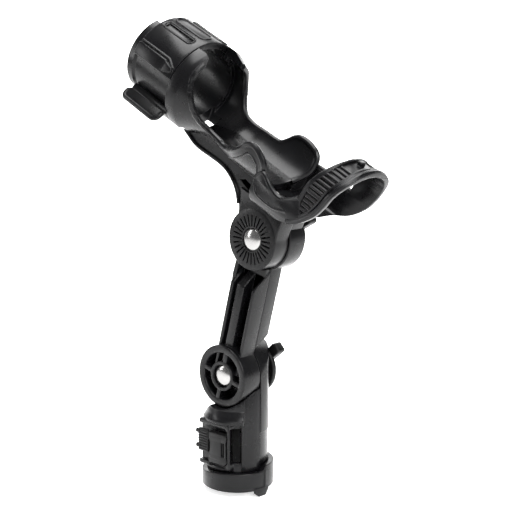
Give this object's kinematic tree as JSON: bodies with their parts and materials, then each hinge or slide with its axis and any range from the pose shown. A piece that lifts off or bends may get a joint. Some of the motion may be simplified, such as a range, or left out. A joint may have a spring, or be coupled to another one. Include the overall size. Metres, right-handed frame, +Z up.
{
  "type": "fishing rod holder",
  "caption": "Rod holder on a socketed post: tilting arm, slotted tube and trough cradle, front arch, turning lock collar, wing-knob ratchet joints and a lock ring.",
  "frame": {"origin": "on the post's vertical axis, level with the underside of the lock ring", "axes": "+Z up along the post, +X the way the rod points, +Y towards the wing knobs"},
  "size_m": [0.208, 0.0665, 0.3311],
  "materials": {
    "black_nylon": "satin moulded glass-filled nylon, fine grain",
    "black_nylon_matt": "matt moulded nylon",
    "polished_steel": "polished stainless dome",
    "stainless_steel": "turned stainless",
    "spring_steel": "drawn wire",
    "brass": "machined brass"
  },
  "bodies": {
    "base": {"post_body": "black_nylon", "ring_clip": "stainless_steel", "latch_plate": "black_nylon_matt", "latch_spring": "spring_steel"},
    "lock_ring": {"post_lock_ring": "black_nylon"},
    "button": {"latch_button": "black_nylon_matt"},
    "arm": {"extension_arm": "black_nylon", "lower_bolt": "polished_steel", "lower_washer": "stainless_steel", "lower_release_spring": "spring_steel"},
    "lower_knob": {"lower_knob": "black_nylon", "lower_knob_nut": "brass"},
    "head": {"cradle": "black_nylon", "front_arch": "black_nylon", "arch_screw_1": "stainless_steel", "arch_screw_2": "stainless_steel", "upper_bolt": "polished_steel", "upper_washer": "stainless_steel", "upper_release_spring": "spring_steel"},
    "upper_knob": {"upper_knob": "black_nylon", "upper_knob_nut": "brass"},
    "collar": {"lock_collar": "black_nylon"}
  },
  "joints": [
    {"name": "lock_ring_turn", "type": "hinge", "parent": "base", "child": "lock_ring", "pos_m": [0, 0, 0], "axis": [0, 0, 1], "range_deg": [-25, 0]},
    {"name": "latch_button_press", "type": "slide", "parent": "base", "child": "button", "axis": [0, 1, 0], "range_m": [0, 0.0015], "stiffness_N_per_m": 500, "springref_m": -0.0005},
    {"name": "arm_tilt", "type": "hinge", "parent": "base", "child": "arm", "pos_m": [0, 0, 0.0801], "axis": [0, 1, 0], "range_deg": [-100, 50]},
    {"name": "lower_knob_turn", "type": "hinge", "parent": "arm", "child": "lower_knob", "pos_m": [0, 0, 0.0801], "axis": [0, 1, 0], "continuous": true},
    {"name": "cradle_tilt", "type": "hinge", "parent": "arm", "child": "head", "pos_m": [0.02595, 0, 0.17833], "axis": [0, -1, 0], "range_deg": [-70, 85]},
    {"name": "upper_knob_turn", "type": "hinge", "parent": "head", "child": "upper_knob", "pos_m": [0.02595, 0, 0.17833], "axis": [0, 1, 0], "continuous": true},
    {"name": "collar_turn", "type": "hinge", "parent": "head", "child": "collar", "pos_m": [0.05458, 0, 0.23332], "axis": [-0.887, 0, 0.4617], "range_deg": [0, 105]}
  ]
}
